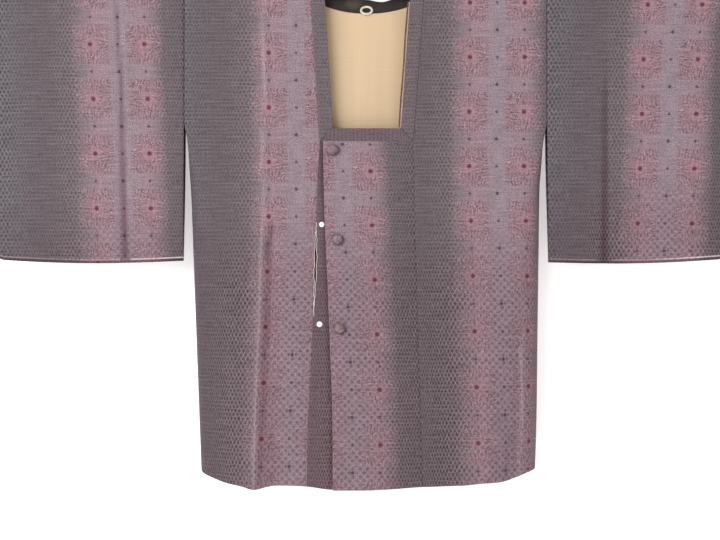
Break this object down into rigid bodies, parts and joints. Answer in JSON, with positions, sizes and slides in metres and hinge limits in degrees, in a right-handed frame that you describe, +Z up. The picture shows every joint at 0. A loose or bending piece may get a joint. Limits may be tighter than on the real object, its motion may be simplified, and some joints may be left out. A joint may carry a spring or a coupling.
{
  "type": "michiyuki coat on a rod hanger",
  "caption": "Square-necked Japanese coat in banded woven cloth with covered buttons, its sleeves held straight out on a plain rod hanger with a wire hook.",
  "frame": {"origin": "top of the inside of the hanger's hook, where it rests on a rail", "axes": "+Z up, +X towards the wearer's left along the hanger's rod, the coat's front towards -Y"},
  "size_m": [1.344, 0.1377, 0.9984],
  "materials": {
    "coat_cloth": "dull woven silk in bands",
    "dark_cloth": "dull woven silk",
    "lining_cloth": "smooth silk, soft sheen",
    "button_cloth": "woven silk over a dome",
    "snap_metal": "white enamel",
    "loop_cord": "thin twisted cord",
    "rod_wood": "satin varnish",
    "hook_steel": "bright plated wire"
  },
  "bodies": {
    "root": {"front_right": "coat_cloth", "back_right": "coat_cloth", "sleeve_right": "coat_cloth", "collar_right": "coat_cloth", "front_left": "coat_cloth", "back_left": "coat_cloth", "sleeve_left": "coat_cloth", "collar_left": "coat_cloth", "band_upper": "coat_cloth", "band_under": "coat_cloth", "collar_bar_upper": "coat_cloth", "collar_bar_under": "coat_cloth", "collar_back": "dark_cloth", "collar_facing": "lining_cloth", "lining_back": "lining_cloth", "pocket_bag": "lining_cloth", "button_1": "button_cloth", "button_2": "button_cloth", "button_3": "button_cloth", "snap_1": "snap_metal", "snap_2": "snap_metal", "hanging_loop": "loop_cord", "hanger_rod": "rod_wood", "hanger_hook": "hook_steel"}
  },
  "joints": []
}
